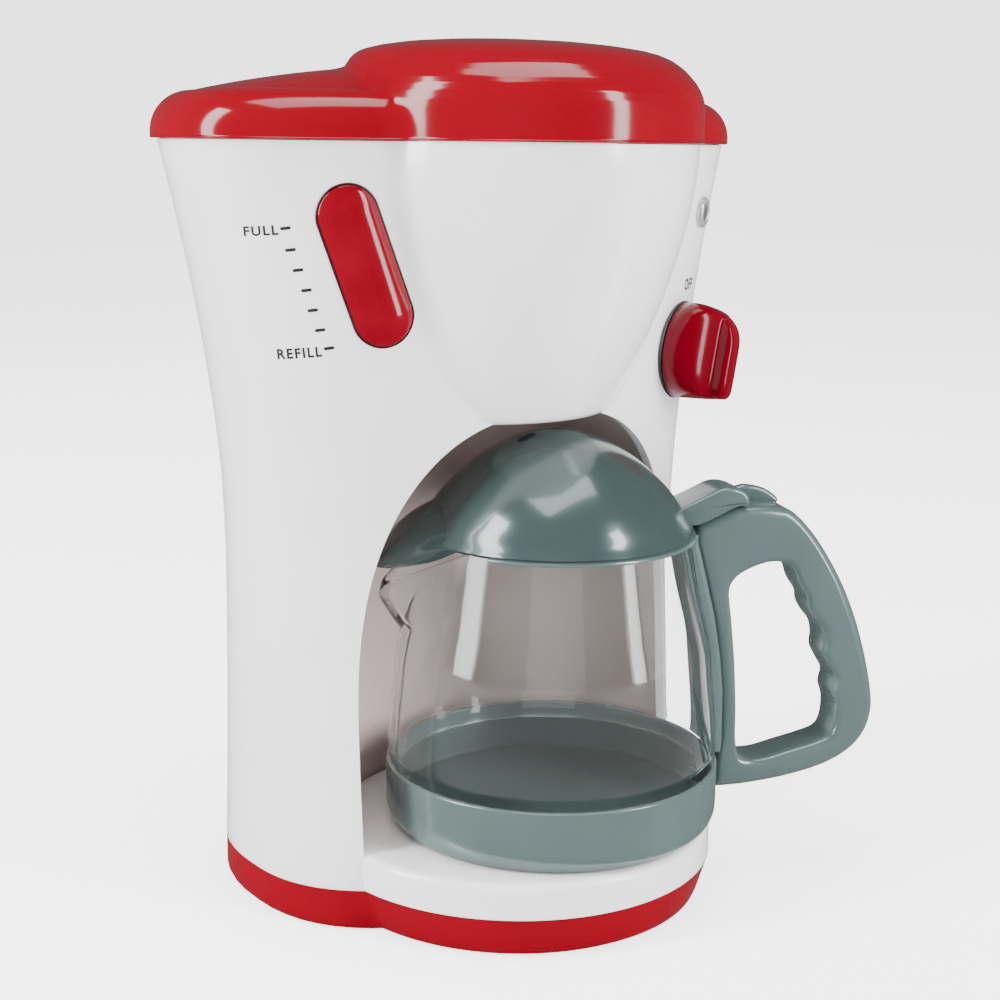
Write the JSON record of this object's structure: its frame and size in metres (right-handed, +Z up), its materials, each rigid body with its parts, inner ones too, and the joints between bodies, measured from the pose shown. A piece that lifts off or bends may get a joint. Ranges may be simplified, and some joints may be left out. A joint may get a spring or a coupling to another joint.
{
  "type": "toy coffee maker",
  "caption": "Toy drip coffee maker with a hinged lid over its brew funnel, an arched bay, a dial, a level window and a spouted jug with a looped handle.",
  "frame": {"origin": "on the ground under the axis of the round foot", "axes": "+Z up, -Y towards the front where the jug slides out, +X to the right hand side"},
  "size_m": [0.1729, 0.1383, 0.2225],
  "materials": {
    "white_shell": "glossy moulded",
    "red_trim": "glossy moulded",
    "slate": "pearly moulded",
    "bay_grey": "fine matte",
    "clear": "clear polished",
    "red_window": "translucent glossy",
    "tank_clear": "clear",
    "lamp_grey": "satin",
    "lamp_lens": "tinted glossy",
    "lamp_led": "milky",
    "dark_plastic": "matte",
    "steel": "zinc plated",
    "board": "solder mask",
    "cell_sleeve": "sleeved"
  },
  "bodies": {
    "body": {"base_pan": "red_trim", "battery_door": "red_trim", "battery_door_screw": "steel", "battery_cells": "cell_sleeve", "battery_contacts": "steel", "base_screws": "steel", "front_housing": "white_shell", "rear_housing": "white_shell", "housing_screws": "steel", "recess_liner": "bay_grey", "gauge_window": "red_window", "indicator_lens": "lamp_lens", "indicator_bezel": "lamp_grey", "indicator_led": "lamp_led", "water_tank": "tank_clear", "drip_nozzle": "dark_plastic", "circuit_board": "board", "rotary_switch": "dark_plastic", "board_screws": "steel", "speaker": "dark_plastic", "lid_hinge_pin": "steel"},
    "lid": {"top_lid": "red_trim"},
    "dial": {"control_knob": "red_trim", "knob_shaft": "steel"},
    "jug": {"jug_glass": "clear", "jug_base": "slate", "jug_collar": "slate", "jug_handle": "slate", "handle_screw": "steel", "jug_lid": "slate", "thumb_lever": "slate"}
  },
  "joints": [
    {"name": "lid_hinge", "type": "hinge", "parent": "body", "child": "lid", "pos_m": [0, 0.082, 0.199], "axis": [-1, 0, 0], "range_deg": [0, 90]},
    {"name": "dial_turn", "type": "hinge", "parent": "body", "child": "dial", "pos_m": [0.053, -0.00255, 0.141], "axis": [-0.39, 0.9188, 0.061], "range_deg": [0, 50]},
    {"name": "jug_slide", "type": "slide", "parent": "body", "child": "jug", "axis": [0, -1, 0], "range_m": [0, 0.15]}
  ]
}
